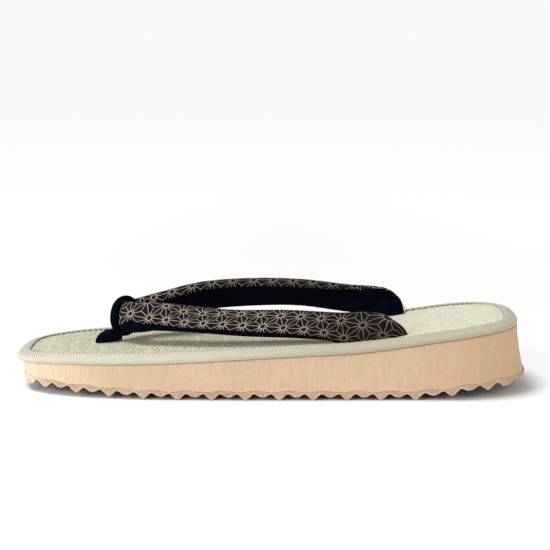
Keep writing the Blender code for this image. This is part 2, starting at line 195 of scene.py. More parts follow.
world = bpy.data.worlds.new("white_studio")
world.use_nodes = True
sky = world.node_tree.nodes["Background"]
sky.inputs["Color"].default_value = (1.0, 0.995, 0.99, 1.0)
rays = world.node_tree.nodes.new("ShaderNodeLightPath")
seen_or_lit = world.node_tree.nodes.new("ShaderNodeMapRange")
seen_or_lit.inputs["To Min"].default_value = SKY_LIGHT
seen_or_lit.inputs["To Max"].default_value = SKY_SEEN
world.node_tree.links.new(rays.outputs["Is Camera Ray"], seen_or_lit.inputs["Value"])
world.node_tree.links.new(seen_or_lit.outputs["Result"], sky.inputs["Strength"])
bpy.context.scene.world = world


# %% Lamps
def add_lamp(name, kind, place, aim, size, power):
    """A square soft box, or a sun as soft as its size in degrees, that looks at a point."""
    data = bpy.data.lights.new(name, kind)
    if kind == "AREA":
        data.size = size
    else:
        data.angle = math.radians(size)
    data.energy = power
    lamp = bpy.data.objects.new(name, data)
    lamp.location = place
    towards = np.subtract(aim, place)
    flat = math.hypot(towards[0], towards[1])
    lamp.rotation_euler = (math.atan2(flat, -towards[2]), 0.0, math.atan2(-towards[0], towards[1]))
    bpy.context.scene.collection.objects.link(lamp)


add_lamp("ceiling", "SUN", (-0.42, -0.06, 1.2), (0.0, 0.0, 0.0), 22.0, 1.86)
add_lamp("toe_softbox", "AREA", (-0.62, -0.56, 0.34), (-0.02, 0.0, 0.02), 0.45, 3.5)
add_lamp("toe_fill", "AREA", (-0.70, -0.10, 0.15), (-0.11, 0.0, 0.01), 0.20, 0.9)
add_lamp("heel_softbox", "AREA", (0.60, -0.28, 0.30), (0.08, 0.0, 0.03), 0.40, 1.1)
print(len(bpy.data.lights), "lamps")

# %% [markdown]
# ## The outline
# Every layer of a zori has the same outline, as one pattern cuts them all. It is a blunt toe, a slight waist
# and a rounder heel, the same on both sides. One function gives half the width at each place along the mat,
# so the sole, the mat and the tape round it fit each other as they do on the bench. A place is 0 at the toe
# and 1 at the heel.

# %% Sizes of the sandal, in metres
MAT_LENGTH = 0.2400
BALL_WIDTH = 0.0764
HEEL_WIDTH = 0.0718
BALL_PLACE = 0.39
HEEL_PLACE = 0.86
TOE_ROUNDNESS = (2.53, 3.33)
HEEL_ROUNDNESS = (1.71, 3.18)
TOE_HEIGHT = 0.0172
HEEL_HEIGHT = 0.0356
HEEL_FLARE = 0.0042
TOE_END = -(MAT_LENGTH + HEEL_FLARE) / 2
BINDING_HEIGHT = 0.0039
BINDING_WIDTH = 0.0080
TAPE_THICKNESS = 0.0007
CLEARANCE = 0.0003
MAT_DROP = TAPE_THICKNESS + CLEARANCE
OUTLINE_STEPS = 1500

TOP_LINE = np.array([
    # place, climb
    (0.00, 0.000), (0.10, 0.100), (0.23, 0.160), (0.34, 0.220), (0.46, 0.315), (0.57, 0.400),
    (0.68, 0.475), (0.75, 0.590), (0.85, 0.790), (0.93, 0.925), (1.00, 1.000),
])


# %% Helpers that measure
def smooth_step(share):
    share = np.clip(share, 0.0, 1.0)
    return share * share * (3 - 2 * share)


def smooth_table(table, keys):
    """Read a table's second column by its first one, along a curve without overshoot."""
    x, y = table[:, 0], table[:, 1]
    chord = np.diff(y) / np.diff(x)
    slope = np.concatenate([[chord[0]], (chord[1:] + chord[:-1]) / 2, [chord[-1]]])
    slope[1:-1][chord[1:] * chord[:-1] <= 0] = 0
    row = np.clip(np.searchsorted(x, keys, side="right") - 1, 0, len(chord) - 1)
    step = x[row + 1] - x[row]
    t = (keys - x[row]) / step
    blend = t * t * (3 - 2 * t)
    lift = slope[row] * step * (t ** 3 - 2 * t ** 2 + t) + slope[row + 1] * step * (t ** 3 - t ** 2)
    return y[row] * (1 - blend) + y[row + 1] * blend + lift


def read_table(table, key, *columns):
    """Read some columns of a table by its first one, along straight lines."""
    return [np.interp(key, table[:, 0], table[:, column]) for column in columns]


def unit(vectors):
    """The same vectors, 1 long."""
    return vectors / np.linalg.norm(vectors, axis=-1, keepdims=True)


def way_along(points):
    """How far along a line each of its points lies."""
    return np.concatenate([[0], np.cumsum(np.linalg.norm(np.diff(points, axis=0), axis=1))])


# %% The outline and the height of its edge
def half_width(place, ball_width=BALL_WIDTH, heel_width=HEEL_WIDTH):
    """Half the outline's width at each place."""
    place = np.asarray(place, dtype=float)
    toe_reach = np.clip(1 - place / BALL_PLACE, 0, 1) ** TOE_ROUNDNESS[0]
    heel_reach = np.clip((place - HEEL_PLACE) / (1 - HEEL_PLACE), 0, 1) ** HEEL_ROUNDNESS[0]
    front = ball_width / 2 * (1 - toe_reach) ** (1 / TOE_ROUNDNESS[1])
    turn = smooth_step((place - BALL_PLACE) / (HEEL_PLACE - BALL_PLACE))
    waist = ball_width / 2 + (heel_width - ball_width) / 2 * turn
    back = heel_width / 2 * (1 - heel_reach) ** (1 / HEEL_ROUNDNESS[1])
    return np.where(place < BALL_PLACE, front, np.where(place < HEEL_PLACE, waist, back))


def top_height(x):
    """Height of the bound edge's top at a point along the sandal."""
    climb = smooth_table(TOP_LINE, np.clip((np.asarray(x) - TOE_END) / MAT_LENGTH, 0, 1))
    return TOE_HEIGHT + (HEEL_HEIGHT - TOE_HEIGHT) * climb


def outline(count, inset=0.0):
    """Points evenly spaced round the mat's edge, their ways outwards, and how far round each one lies."""
    place = smooth_step(0.5 - 0.5 * np.cos(np.linspace(0, math.pi, OUTLINE_STEPS)))
    x, half = TOE_END + place * MAT_LENGTH, half_width(place)
    points = np.vstack([np.column_stack([x, -half]), np.column_stack([x, half])[-2:0:-1]])
    points = np.vstack([points, points[:1]])
    way = way_along(points)
    stops = np.linspace(0, way[-1], count, endpoint=False)
    even = np.column_stack([np.interp(stops, way, points[:, axis]) for axis in (0, 1)])
    edge = unit(np.roll(even, -1, axis=0) - np.roll(even, 1, axis=0))
    outward = np.column_stack([edge[:, 1], -edge[:, 0]])
    return even - outward * inset, outward, stops


# %% [markdown]
# ## Wrapping a sheet round sections
# Most pieces here are a sheet wrapped round a form, as a last maker would do it. Blender's grid primitive is
# that sheet: it is added with as many rows and columns as the form has points, laid on them, sewn where its
# edges meet and closed at its ends. Its UV map then holds millimetres, so every pattern has its real size.

# %% Helpers that lay a grid on a form
SEWN_WITHIN = 0.000002
SHARP_ANGLE = math.radians(50)


def only(piece):
    """Select one piece and nothing else."""
    bpy.ops.object.select_all(action="DESELECT")
    piece.select_set(True)
    bpy.context.view_layer.objects.active = piece


def wrap(name, rows, way_along_it, way_round, close_along=False, caps=False):
    """Lay a grid over closed sections; the two ways are its UV coordinates in millimetres."""
    rows = np.asarray(rows, dtype=float)
    ways = [np.broadcast_to(way, rows.shape[:2]) for way in (way_along_it, way_round)]
    ways = [np.concatenate([ways[0], ways[0][:, :1]], axis=1),
            np.concatenate([ways[1], 2 * ways[1][:, -1:] - ways[1][:, -2:-1]], axis=1)]
    rows = np.concatenate([rows, rows[:, :1]], axis=1)
    if close_along:
        rows = np.concatenate([rows, rows[:1]])
        ways = [np.concatenate([ways[0], 2 * ways[0][-1:] - ways[0][-2:-1]]),
                np.concatenate([ways[1], ways[1][:1]])]
    bpy.ops.object.select_all(action="DESELECT")
    bpy.ops.mesh.primitive_grid_add(x_subdivisions=rows.shape[1] - 1, y_subdivisions=len(rows) - 1, size=1.0)
    piece = bpy.context.object
    piece.name = piece.data.name = name
    mesh = piece.data
    mesh.vertices.foreach_set("co", rows.ravel())
    corners = np.empty(len(mesh.loops), dtype=np.int64)
    mesh.loops.foreach_get("vertex_index", corners)
    places = np.column_stack([way.ravel() for way in ways])
    mesh.uv_layers[0].data.foreach_set("uv", places[corners].ravel())
    only(piece)
    bpy.ops.object.mode_set(mode="EDIT")
    bpy.ops.mesh.select_all(action="SELECT")
    bpy.ops.mesh.remove_doubles(threshold=SEWN_WITHIN)
    if caps:
        bpy.ops.mesh.select_mode(type="EDGE")
        bpy.ops.mesh.select_all(action="DESELECT")
        bpy.ops.mesh.select_non_manifold()
        bpy.ops.mesh.fill()
        bpy.ops.mesh.select_mode(type="VERT")
    bpy.ops.mesh.select_all(action="SELECT")
    bpy.ops.mesh.normals_make_consistent(inside=False)
    bpy.ops.object.mode_set(mode="OBJECT")
    bpy.ops.object.shade_smooth_by_angle(angle=SHARP_ANGLE)
    return piece


def mesh_points(mesh):
    """The mesh's points, a row for each."""
    points = np.empty(len(mesh.vertices) * 3)
    mesh.vertices.foreach_get("co", points)
    return points.reshape(-1, 3)


def dress(piece, finish, node):
    """Give a piece its finish, hang it under the root body and hide the CAD node it stands for, if one is given.
    """
    piece.data.materials.clear()
    piece.data.materials.append(finish.material)
    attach(piece, "root")
    if node:
        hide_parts(node)
    print(piece.name, len(piece.data.vertices), "points")


# %% [markdown]
# ## Rippled outsole
# The outsole is a thin sheet of harder foam, moulded with a row of rounded teeth, a large one and a small one
# in turn, and glued under the wedge before the edge is sanded. The sanding leaves a darker band, and the
# moulded skin stays lighter along the very edge of the ripple. The sheet is laid section by section along
# the sandal, close enough for the teeth to come out round.

# %% Heights of the sole's layers
SOLE_TOE_INSET = 0.0030
SOLE_SIDE_INSET = 0.0012
SOLE_LENGTH = MAT_LENGTH - SOLE_TOE_INSET
TOE_SPRING = 0.0040
TOE_SPRING_CURVE = 1.6
HEEL_SPRING = 0.0048
FLAT_STARTS = 0.320
FLAT_ENDS = 0.765
SPRING_ENDS = 0.985
SHEET_THICKNESS = 0.0041
JOINT_WAVE = 0.0004
JOINT_WAVE_LAG = 0.30
TOOTH_PITCH = 0.01570
TOOTH_DEPTH = 0.0027
FIRST_TOOTH = 0.0142
TOE_STRETCH = 0.0011
TOE_STRETCH_ENDS = 0.36
HEEL_STRETCH = 0.0023
HEEL_STRETCH_STARTS = 0.74
STRETCH_REACH = 0.20
LAST_TOOTH = 0.0012
LAST_TOOTH_PLACE = 0.0093
LAST_TOOTH_REACH = 0.0026
LAST_FLAT = 0.0010
LAST_FLAT_REACH = 0.0030
TOE_LIP = 0.0021
TOE_LIP_PLACE = 0.0010
TOE_LIP_REACH = 0.0066

TOOTH_PROFILE = np.array([
    # phase, depth as a share of the large tooth's
    (-0.08, 0.90), (0.000, 1.00), (0.035, 0.98), (0.085, 0.76), (0.150, 0.40), (0.205, 0.08), (0.245, 0.00),
    (0.285, 0.03), (0.340, 0.20), (0.395, 0.42), (0.450, 0.53), (0.500, 0.55), (0.550, 0.53),
])


def sole_lift(place):
    """Toe spring and heel spring of the lowest plane."""
    toe = np.clip((FLAT_STARTS - place) / FLAT_STARTS, 0, 1) ** TOE_SPRING_CURVE
    heel = smooth_step((place - FLAT_ENDS) / (SPRING_ENDS - FLAT_ENDS))
    return TOE_SPRING * toe + HEEL_SPRING * heel


def tooth_turns(place):
    """How many teeth come before a place; the sheet is a little stretched where it bends up at both ends."""
    toe = TOE_STRETCH * smooth_step((TOE_STRETCH_ENDS - place) / STRETCH_REACH)
    heel = HEEL_STRETCH * smooth_step((place - HEEL_STRETCH_STARTS) / STRETCH_REACH)
    return (place * SOLE_LENGTH + toe - heel - FIRST_TOOTH) / TOOTH_PITCH


def tread_height(place):
    """Height of the rippled underside, with its thick lip at the toe and its flat end at the heel."""
    turns = tooth_turns(place)
    depth = smooth_table(TOOTH_PROFILE, np.abs(turns - np.round(turns)))
    lip = TOE_LIP * np.exp(-((place * SOLE_LENGTH - TOE_LIP_PLACE) / TOE_LIP_REACH) ** 4)
    from_end = (1 - place) * SOLE_LENGTH
    last = LAST_TOOTH * np.exp(-((from_end - LAST_TOOTH_PLACE) / LAST_TOOTH_REACH) ** 2)
    flat = LAST_FLAT * np.exp(-(from_end / LAST_FLAT_REACH) ** 4)
    return sole_lift(place) + TOOTH_DEPTH * (1 - depth) - lip - last + flat


def joint_height(place):
    """Height of the wavy joint between the sheet and the wedge."""
    wave = JOINT_WAVE * np.cos(2 * math.pi * (tooth_turns(place) - JOINT_WAVE_LAG))
    return sole_lift(place) + SHEET_THICKNESS + wave


# %% Sections of the sole's layers
FLARE_STARTS = 0.88
FLARE_CURVE = 1.5
SLOPE_STEP = 0.0004
CROWDED = 0.03
CROWDED_STEPS = 26
CROWDING = 2.2


def sole_half(place):
    return half_width(place, BALL_WIDTH - 2 * SOLE_SIDE_INSET, HEEL_WIDTH - 2 * SOLE_SIDE_INSET)


def sole_point(place, down, inward=0.0):
    """A point of the far wall in plan: down is its share of the flare, inward its distance in from the outline."""
    flare = HEEL_FLARE * down ** FLARE_CURVE
    stretch = np.clip((place - FLARE_STARTS) / (1 - FLARE_STARTS), 0, 1) ** 2
    ahead, behind = np.clip(place + SLOPE_STEP, 0, 1), np.clip(place - SLOPE_STEP, 0, 1)
    slope = (sole_half(ahead) - sole_half(behind)) / ((ahead - behind) * SOLE_LENGTH)
    square = 1 / np.sqrt(1 + slope ** 2)
    half = np.maximum(sole_half(place) - inward * square, 0.0)
    x = TOE_END + SOLE_TOE_INSET + place * SOLE_LENGTH + flare * stretch + inward * slope * square
    return x, half


def lengthwise(even):
    """Places along the sole, evenly spaced and crowded at both ends, where the outline turns."""
    close = CROWDED * (np.arange(CROWDED_STEPS) / CROWDED_STEPS) ** CROWDING
    return np.concatenate([close, np.linspace(CROWDED, 1 - CROWDED, even), 1 - close[::-1]])


def sole_layer(name, places, wall, roof, floor_height, steps):
    """A closed layer: each section runs down the far wall, across the bottom and up the near wall."""
    lows = floor_height(places)
    rows = []
    for place, top, low in zip(places, roof(places), lows):
        section = []
        for flare, share, inward in wall:
            section.append((*sole_point(place, flare, inward), top + (low - top) * share))
        x, half = sole_point(place, 1.0, wall[-1][2])
        sides = np.concatenate([[0.98], np.linspace(0.94, -0.94, steps), [-0.98]])
        crossing = [(x, half * side, low) for side in sides]
        rows.append(section + crossing + [(px, -py, pz) for px, py, pz in section[::-1]])
    rows = np.array(rows)
    return wrap(name, rows, places[:, None] * SOLE_LENGTH * 1000, (rows[..., 2] - lows[:, None]) * 1000)


# %% The outsole sheet
OUTSOLE_WALL = (
    # share of the flare, share of the way down, distance in from the outline
    (0.88, 0.00, 0.0000), (0.90, 0.25, 0.0000), (0.93, 0.50, 0.0000), (0.95, 0.68, 0.0000),
    (0.96, 0.80, 0.0000), (0.97, 0.88, 0.00004), (0.98, 0.95, 0.00015), (1.00, 1.00, 0.00045),
)
outsole = sole_layer("rippled_outsole", lengthwise(430), OUTSOLE_WALL,
                     lambda place: joint_height(place) - CLEARANCE / 3, tread_height, 16)

# %% How far in from its edge each point of the sheet lies, in millimetres; it places the painted shade under the sole
outsole_points = mesh_points(outsole.data)
place = np.clip((outsole_points[:, 0] - TOE_END - SOLE_TOE_INSET) / SOLE_LENGTH, 0, 1)
depth = np.maximum(sole_half(place) - np.abs(outsole_points[:, 1]), 0.0) * 1000
outsole.data.attributes.new("depth", "FLOAT", "POINT").data.foreach_set("value", depth)

# %% Foam of the outsole
outsole_foam = Finish("outsole_foam", 0.72, specular=0.2)
_, rise = outsole_foam.uv_parts()
sheet_places = outsole_foam.places()
speckle = outsole_foam.noise(sheet_places, 900.0, 3.0)
patches = outsole_foam.noise(sheet_places, 60.0)
sheet_x = outsole_foam.split(sheet_places)[0]
inward = outsole_foam.node("Attribute", output="Fac", attribute_name="depth")
sanded = outsole_foam.mix(patches.between(0.35, 0.65), (0.520, 0.355, 0.240), (0.590, 0.405, 0.280))
sheet_colour = outsole_foam.layered(
    sanded,
    ((rise + patches * 0.7).between(1.75, 0.75), (0.610, 0.465, 0.370)),
    # painted highlight: the sheet's toe end is made paler where the lamps light it most
    (sheet_x.between(-0.100, -0.117), (0.760, 0.600, 0.450)),
    (speckle.between(0.45, 0.72), (0.44, 0.27, 0.17)),
    # painted shade: the underside more than about 2 mm in from the edge is made near-black, where the sole keeps
    # the light off it
    (inward.between(0.3, 2.2), (0.045, 0.026, 0.016)))
outsole_foam.coat(sheet_colour, speckle, 0.0002, 0.5)
dress(outsole, outsole_foam, "outsole")

# %% [markdown]
# ## Foam wedge
# The wedge is cut from a block of foam and its wall is sanded on a belt, so it is matt, with fine marks that
# run up and down. It stands upright at the toe and flares towards its bottom edge at the heel. Its upper edge
# is a little rounded where it goes in under the tape.

# %% The midsole wedge
MIDSOLE_WALL = (
    # share of the flare, share of the way down, distance in from the outline
    (0.00, 0.000, 0.0008), (0.00, 0.010, 0.0003), (0.00, 0.035, 0.0001), (0.02, 0.08, 0.0000),
    (0.12, 0.18, 0.0000), (0.22, 0.28, 0.0000), (0.32, 0.38, 0.0000), (0.42, 0.50, 0.0000),
    (0.53, 0.62, 0.0000), (0.64, 0.74, 0.0000), (0.74, 0.85, 0.0000), (0.82, 0.94, 0.0000),
    (0.87, 1.00, 0.0000),
)


def wedge_top(place):
    return top_height(sole_point(place, 0.0)[0]) - BINDING_HEIGHT - CLEARANCE / 3


midsole = sole_layer("foam_wedge", lengthwise(260), MIDSOLE_WALL, wedge_top, joint_height, 8)

# %% Sanded foam
midsole_foam = Finish("midsole_foam", 0.68, specular=0.25)
wedge_places = midsole_foam.places()
wedge_x = midsole_foam.split(wedge_places)[0]
clouds = midsole_foam.noise(wedge_places, 45.0)
fine = midsole_foam.noise(midsole_foam.places((1.0, 1.0, 0.45)), 1500.0)
cells = midsole_foam.noise(midsole_foam.places((1.0, 1.0, 0.6)), 520.0, 3.0, 0.6)
belt_marks = midsole_foam.noise(midsole_foam.places((1.0, 1.0, 0.16)), 700.0)
tan = midsole_foam.mix(clouds.between(0.25, 0.75), (0.655, 0.470, 0.315), (0.705, 0.515, 0.352))
wedge_colour = midsole_foam.layered(
    tan,
    # painted light and shade: the wall is made paler towards the toe as a painted highlight and darker towards the
    # heel as painted shade
    (wedge_x.between(-0.070, -0.122), (0.790, 0.640, 0.480)),
    (wedge_x.between(0.030, 0.122), (0.610, 0.405, 0.250)),
    (belt_marks.between(0.40, 0.75) * 0.55, (0.600, 0.400, 0.250)),
    (cells.between(0.50, 0.80) * 0.40, (0.80, 0.63, 0.47)),
    (fine.between(0.45, 0.75) * 0.35, (0.56, 0.37, 0.23)))
midsole_foam.coat(wedge_colour, belt_marks * 0.5 + fine, 0.00014, 0.5)
dress(midsole, midsole_foam, "midsole")

# %% [markdown]
# ## Rush mat
# Igusa rush is woven on thin warp threads: each strand lies straight across the sandal, and the warp pinches
# it every few millimetres. The ribs are real here, because their shadows make the mat's look. A section
# along the sandal gets a rib for each strand, and each strand dips in turn where a warp thread crosses it.
# Towards the heel the weave is pressed flatter. The mat swells up a little just inside the tape.

# %% Sizes of the weave, in metres
STRAND_PITCH = 0.00126
STRAND_HEIGHT = 0.00030
STRAND_STEPS = 5
RIB_ROUNDNESS = 0.7
RIB_SINK = 0.8
HEEL_FLATNESS = 0.7
WARP_PITCH = 0.0046
WARP_PINCH = 0.22
MAT_COLUMNS = 91
MAT_EDGE = 0.0050
MAT_THICKNESS = 0.0022
MAT_SWELL = 0.00070
SWELL_STARTS = -0.0006
SWELL_REACH = 0.0011
EDGE_DIP = 0.0003
HOLE_PLACE = 0.1660
HOLE_X = TOE_END + HOLE_PLACE * MAT_LENGTH
HOLE_DIP = 0.0004
HOLE_DIP_REACH = 0.0085
TOE_TAPE_CUT = 0.0015
HEEL_TAPE_CUT = 0.0020
SIDE_TAPE_CUT = 0.0025


def mat_height(x):
    return top_height(x) - MAT_DROP


def tape_width(edge, outward):
    """Width of the tape's upper side: it is folded over less at the toe, at the heel and beside the heel."""
    ahead = np.clip(-outward[:, 0], 0, 1) ** 2
    behind = np.clip(outward[:, 0], 0, 1) ** 2
    beside = smooth_step((edge[:, 0] - 0.045) / 0.030) * smooth_step(-2 * outward[:, 1])
    cut = TOE_TAPE_CUT * ahead + np.maximum(HEEL_TAPE_CUT * behind, SIDE_TAPE_CUT * beside)
    return BINDING_WIDTH - cut


def mat_swell(x, y, edge, outward):
    """How much the mat swells up inside the tape's inner edge, at points across one section."""
    apart = np.hypot(edge[:, 0, None] - x, edge[:, 1, None] - y)
    nearest = np.argmin(apart, axis=0)
    inside = apart[nearest, np.arange(len(y))] - tape_width(edge[nearest], outward[nearest])
    return MAT_SWELL * smooth_step((inside - SWELL_STARTS) / SWELL_REACH)


# %% The woven mat
def mat_rows():
    """Sections across the mat, from its far edge over the top to its near edge, then back underneath."""
    edge, outward, _ = outline(500)
    border, _, _ = outline(1600, MAT_EDGE)
    far = border[border[:, 1] > 0]
    far = far[np.argsort(far[:, 0])]
    start, end = far[0, 0], far[-1, 0]
    rows, strands, across = [], [], []
    for x in np.linspace(start, end, int((end - start) / STRAND_PITCH * STRAND_STEPS) + 1):
        half = float(np.interp(x, far[:, 0], far[:, 1]))
        y = half * np.linspace(1, -1, MAT_COLUMNS)
        strand = (x - TOE_END) / STRAND_PITCH
        rib = abs(math.sin(math.pi * strand)) ** RIB_ROUNDNESS
        turn = math.pi * (math.floor(strand) % 2)
        pinch = 1 - WARP_PINCH + WARP_PINCH * np.cos(2 * math.pi * y / WARP_PITCH + turn)
        high = STRAND_HEIGHT * (1 - HEEL_FLATNESS * float(smooth_step((x + 0.030) / 0.080)))
        dip = HOLE_DIP * np.exp(-(np.hypot(x - HOLE_X, y) / HOLE_DIP_REACH) ** 2)
        z = mat_height(x) + high * (rib * pinch - RIB_SINK) - dip + mat_swell(x, y, edge, outward)
        z[[0, -1]] -= EDGE_DIP
        low = mat_height(x) - MAT_THICKNESS
        under = [(x, half * side, low) for side in (-0.98, 0.0, 0.98)]
        rows.append(np.vstack([np.column_stack([np.full(len(y), x), y, z]), under]))
        strands.append(strand)
        across.append(1000 * np.concatenate([y, [-half, 0.0, half]]))
    return rows, np.array(strands)[:, None], np.array(across)


mat = wrap("rush_mat", *mat_rows())

# %% Where on the weave a point lies
rush = Finish("rush", 0.66, specular=0.35)
strand_way, across_way = rush.uv_parts()
strand = strand_way.calculate("FLOOR")
from_middle = abs(strand_way.calculate("FRACT") - 0.5)
heelward = rush.split(rush.places())[0].between(-0.030, 0.060)


def strand_chance(number):
    """A chance value that is the same all along one strand."""
    return rush.node("TexWhiteNoise", {"W": number}, "Value", noise_dimensions="1D")


def weave_noise(along, across, scale, detail):
    """Noise on the weave's own two ways."""
    return rush.noise(rush.node("CombineXYZ", {"X": along, "Y": across}), scale, detail)


per_strand = strand_chance(strand)
streaks = weave_noise(strand * 7.3, across_way * 0.12, 1.0, 3.0)
fibres = weave_noise(strand_way * 5.0, across_way * 0.7, 1.6, 2.0)

# %% Gaps between strands, warp knots and the dots where a strand is turned over
DOT_PITCH = 3.1

broken = weave_noise(strand * 3.7, across_way * 0.34, 1.0, 1.0).between(0.38, 0.60)
gap = from_middle.between(0.29, 0.46) * ((1.0 - heelward * 0.95) * (broken * 0.85 + 0.15))
warp_way = across_way * (1.0 / (WARP_PITCH * 1000)) + strand * 0.5
knot = abs(warp_way.calculate("FRACT") - 0.5).between(0.055, 0.02) * from_middle.between(0.20, 0.40)
dot_way = across_way * (1.0 / DOT_PITCH) + per_strand
dot_cell = rush.node("CombineXYZ", {"X": strand, "Y": dot_way.calculate("FLOOR")})
rare = 0.80 - strand_chance(strand + 31.7).between(0.68, 0.90) * 0.22
chosen = rush.node("TexWhiteNoise", {"Vector": dot_cell}, "Value").calculate("GREATER_THAN", rare)
dot = abs(dot_way.calculate("FRACT") - 0.5).between(0.27, 0.10) * from_middle.between(0.18, 0.40)
dot = dot * chosen * (heelward * 0.55 + 0.25)
dark = gap.calculate("MAXIMUM", knot * 0.55).calculate("MAXIMUM", dot)

# %% Colour of the rush
green = rush.mix(streaks.between(0.3, 0.7), (0.500, 0.500, 0.330), (0.770, 0.760, 0.580))
rush_colour = rush.layered(
    green,
    (per_strand * 0.45, (0.58, 0.55, 0.35)),
    (heelward * 0.75, (0.690, 0.665, 0.520)),
    (fibres.between(0.40, 0.75), (0.78, 0.76, 0.62)),
    (dark, (0.115, 0.115, 0.050)))
rush.coat(rush_colour, fibres, 0.00012, 0.5)
dress(mat, rush, "insole_mat")

# %% [markdown]
# ## Bound edge
# A strip of cotton twill is cut on the bias, folded round the mat's edge and sewn down. Its section is a C
# with a plump back that slopes outwards. Cut on the bias, the twill's ridges run aslant all the way round,
# and the tape puckers a little where it goes round the toe and the heel.

# %% Sizes of the tape
TAPE_SECTION = np.array([
    # distance in from the outline, drop from the top, both in millimetres
    (8.05, 0.62), (8.10, 0.34), (8.00, 0.12), (7.60, 0.02), (6.60, 0.02), (5.40, 0.10), (4.20, 0.22), (3.00, 0.40),
    (2.10, 0.60), (1.40, 0.84), (0.85, 1.12), (0.42, 1.46), (0.16, 1.80), (0.03, 2.15), (0.00, 2.45),
    (0.05, 2.70), (0.20, 3.15), (0.48, 3.52), (0.90, 3.78), (1.50, 3.90), (3.00, 3.92), (5.00, 3.90),
    (5.00, 3.20), (1.60, 3.05), (1.10, 2.20), (1.60, 1.20), (3.00, 0.75), (5.50, 0.70),
])
TAPE_COUNT = 620
CUT_FROM = 0.0025
NEAR_BULGE = 0.00052
FAR_BULGE = 0.00020
BULGE_PLACE = 0.0050
BULGE_REACH = 0.0034
PUCKER = 0.00011
PUCKER_LENGTHS = (0.0041, 0.0053, 0.0067, 0.0090, 0.0140)


# %% The tape
def tape_rows():
    """Sections of the tape at points evenly spaced round the outline, and how far round they lie."""
    edge, outward, way = outline(TAPE_COUNT)
    bend = np.linalg.norm(np.roll(outward, -4, axis=0) - np.roll(outward, 4, axis=0), axis=1)
    rng = np.random.default_rng(7)
    waves = sum(rng.normal() * np.sin(2 * math.pi * way / length + rng.uniform(0, 6))
                for length in PUCKER_LENGTHS) / 2
    swells = waves * (0.25 + bend / bend.max()) * PUCKER
    cuts = BINDING_WIDTH - tape_width(edge, outward)
    inward, drop = TAPE_SECTION.T / 1000
    upper = (drop < 0.00065) & (inward > CUT_FROM)
    cut_share = np.where(upper, (inward - CUT_FROM) / (BINDING_WIDTH - CUT_FROM), 0.0)
    plump = np.clip(1 - inward / BINDING_WIDTH, 0, 1)
    bulge = np.clip(1 - ((inward - BULGE_PLACE) / BULGE_REACH) ** 2, 0, 1) * (drop < 0.0009)
    rows = []
    for (x, y), (nx, ny), swell, cut in zip(edge, outward, swells, cuts):
        reach = inward - cut_share * cut - swell * plump * 0.6
        points = np.column_stack([x - nx * reach, y - ny * reach])
        height = top_height(points[:, 0]) - drop
        height[drop < 0.0012] += swell * 1.2
        height += bulge * (FAR_BULGE + (NEAR_BULGE - FAR_BULGE) * float(smooth_step(0.5 - ny)))
        rows.append(np.column_stack([points, height]))
    return rows, way * 1000


tape_sections, tape_way = tape_rows()
binding = wrap("edge_tape", tape_sections, tape_way[:, None], way_along(TAPE_SECTION)[None, :], close_along=True)

# %% Twill ridges
TWILL_PITCH = 1.42
TWILL_SLANT = 0.85
HEEL_SLANT = 0.20
TAPE_FOLD = 5.6

twill = Finish("twill_tape", 0.85, 0.15, 0.2)
tape_along, tape_over = twill.uv_parts()
tape_places = twill.places()
tape_x = twill.split(tape_places)[0]
past_fold = tape_over - TAPE_FOLD
over_fold = past_fold.calculate("MAXIMUM", past_fold * 0.50)
slant = tape_x.between(0.0, 0.090) * HEEL_SLANT + TWILL_SLANT
wobble = twill.noise(tape_places, 220.0) * 0.55
ridge_way = (tape_along - over_fold * slant + wobble) * (1.0 / TWILL_PITCH)
groove = abs(ridge_way.calculate("FRACT") - 0.5).between(0.20, 0.42)
yarn = twill.noise(tape_places, 1600.0)

# %% Colour of the tape: warmer towards the heel, with a little mauve painted shade on top at the toe
on_top = tape_over.between(8.6, 6.4)
ivory = twill.mix(twill.noise(tape_places, 90.0), (0.655, 0.630, 0.510), (0.735, 0.705, 0.612))
tape_colour = twill.layered(
    ivory,
    (tape_x.between(-0.060, 0.060) * 0.8, (0.490, 0.450, 0.340)),
    (tape_x.between(0.080, 0.119) * 0.75, (0.600, 0.545, 0.450)),
    # painted shade: the tape's top at the toe, turned away from the lamps, is made darker and a little mauve
    (tape_x.between(-0.100, -0.119) * on_top * 0.85, (0.560, 0.500, 0.480)),
    (groove * 0.72, (0.300, 0.275, 0.170)))
twill.coat(tape_colour, yarn * 0.35 - groove, 0.00022, 0.8)
dress(binding, twill, "edge_binding")

# %% [markdown]
# ## Running stitch
# The tape is held by a line of olive thread that runs round the mat just inside the tape's edge. Each stitch
# is the same short bead of thread, so one is modelled and copied round the outline.

# %% One stitch
STITCH_PITCH = 0.0030
STITCH_LENGTH = 0.0018
STITCH_RADIUS = 0.00044
STITCH_DIP = 0.00022
STITCH_OFFSET = 0.00016
STITCH_SINK = 0.00026
HEEL_STITCH_SINK = 0.00045


def ring(middle, first, second, radius, sides):
    """A round section about a middle, in the plane of two directions."""
    turns = 2 * math.pi * np.arange(sides) / sides
    return middle + (np.outer(np.cos(turns), first) + np.outer(np.sin(turns), second)) * radius


def stitch_shape():
    """One stitch along X: a short tube with its ends dipping."""
    rows = []
    for share in np.linspace(-1, 1, 7):
        centre = np.array([share * STITCH_LENGTH / 2, 0.0, -STITCH_DIP * share ** 2])
        rows.append(ring(centre, (0, 1, 0), (0, 0, 1), STITCH_RADIUS * (1 - 0.62 * share ** 4), 6))
    return wrap("stitch", rows, 0.0, 0.0, caps=True)


def join(pieces, name):
    """Make several pieces one object."""
    only(pieces[0])
    for piece in pieces:
        piece.select_set(True)
    bpy.ops.object.join()
    joined = bpy.context.object
    joined.name = joined.data.name = name
    return joined


def place_copy(shape, rotation, place):
    """A copy of a mesh with its own data, turned by a 3 x 3 array and moved in its mesh."""
    mesh = shape.data.copy()
    points = mesh_points(mesh) @ rotation.T + place
    mesh.vertices.foreach_set("co", points.ravel())
    copy = bpy.data.objects.new(shape.name, mesh)
    bpy.context.scene.collection.objects.link(copy)
    return copy


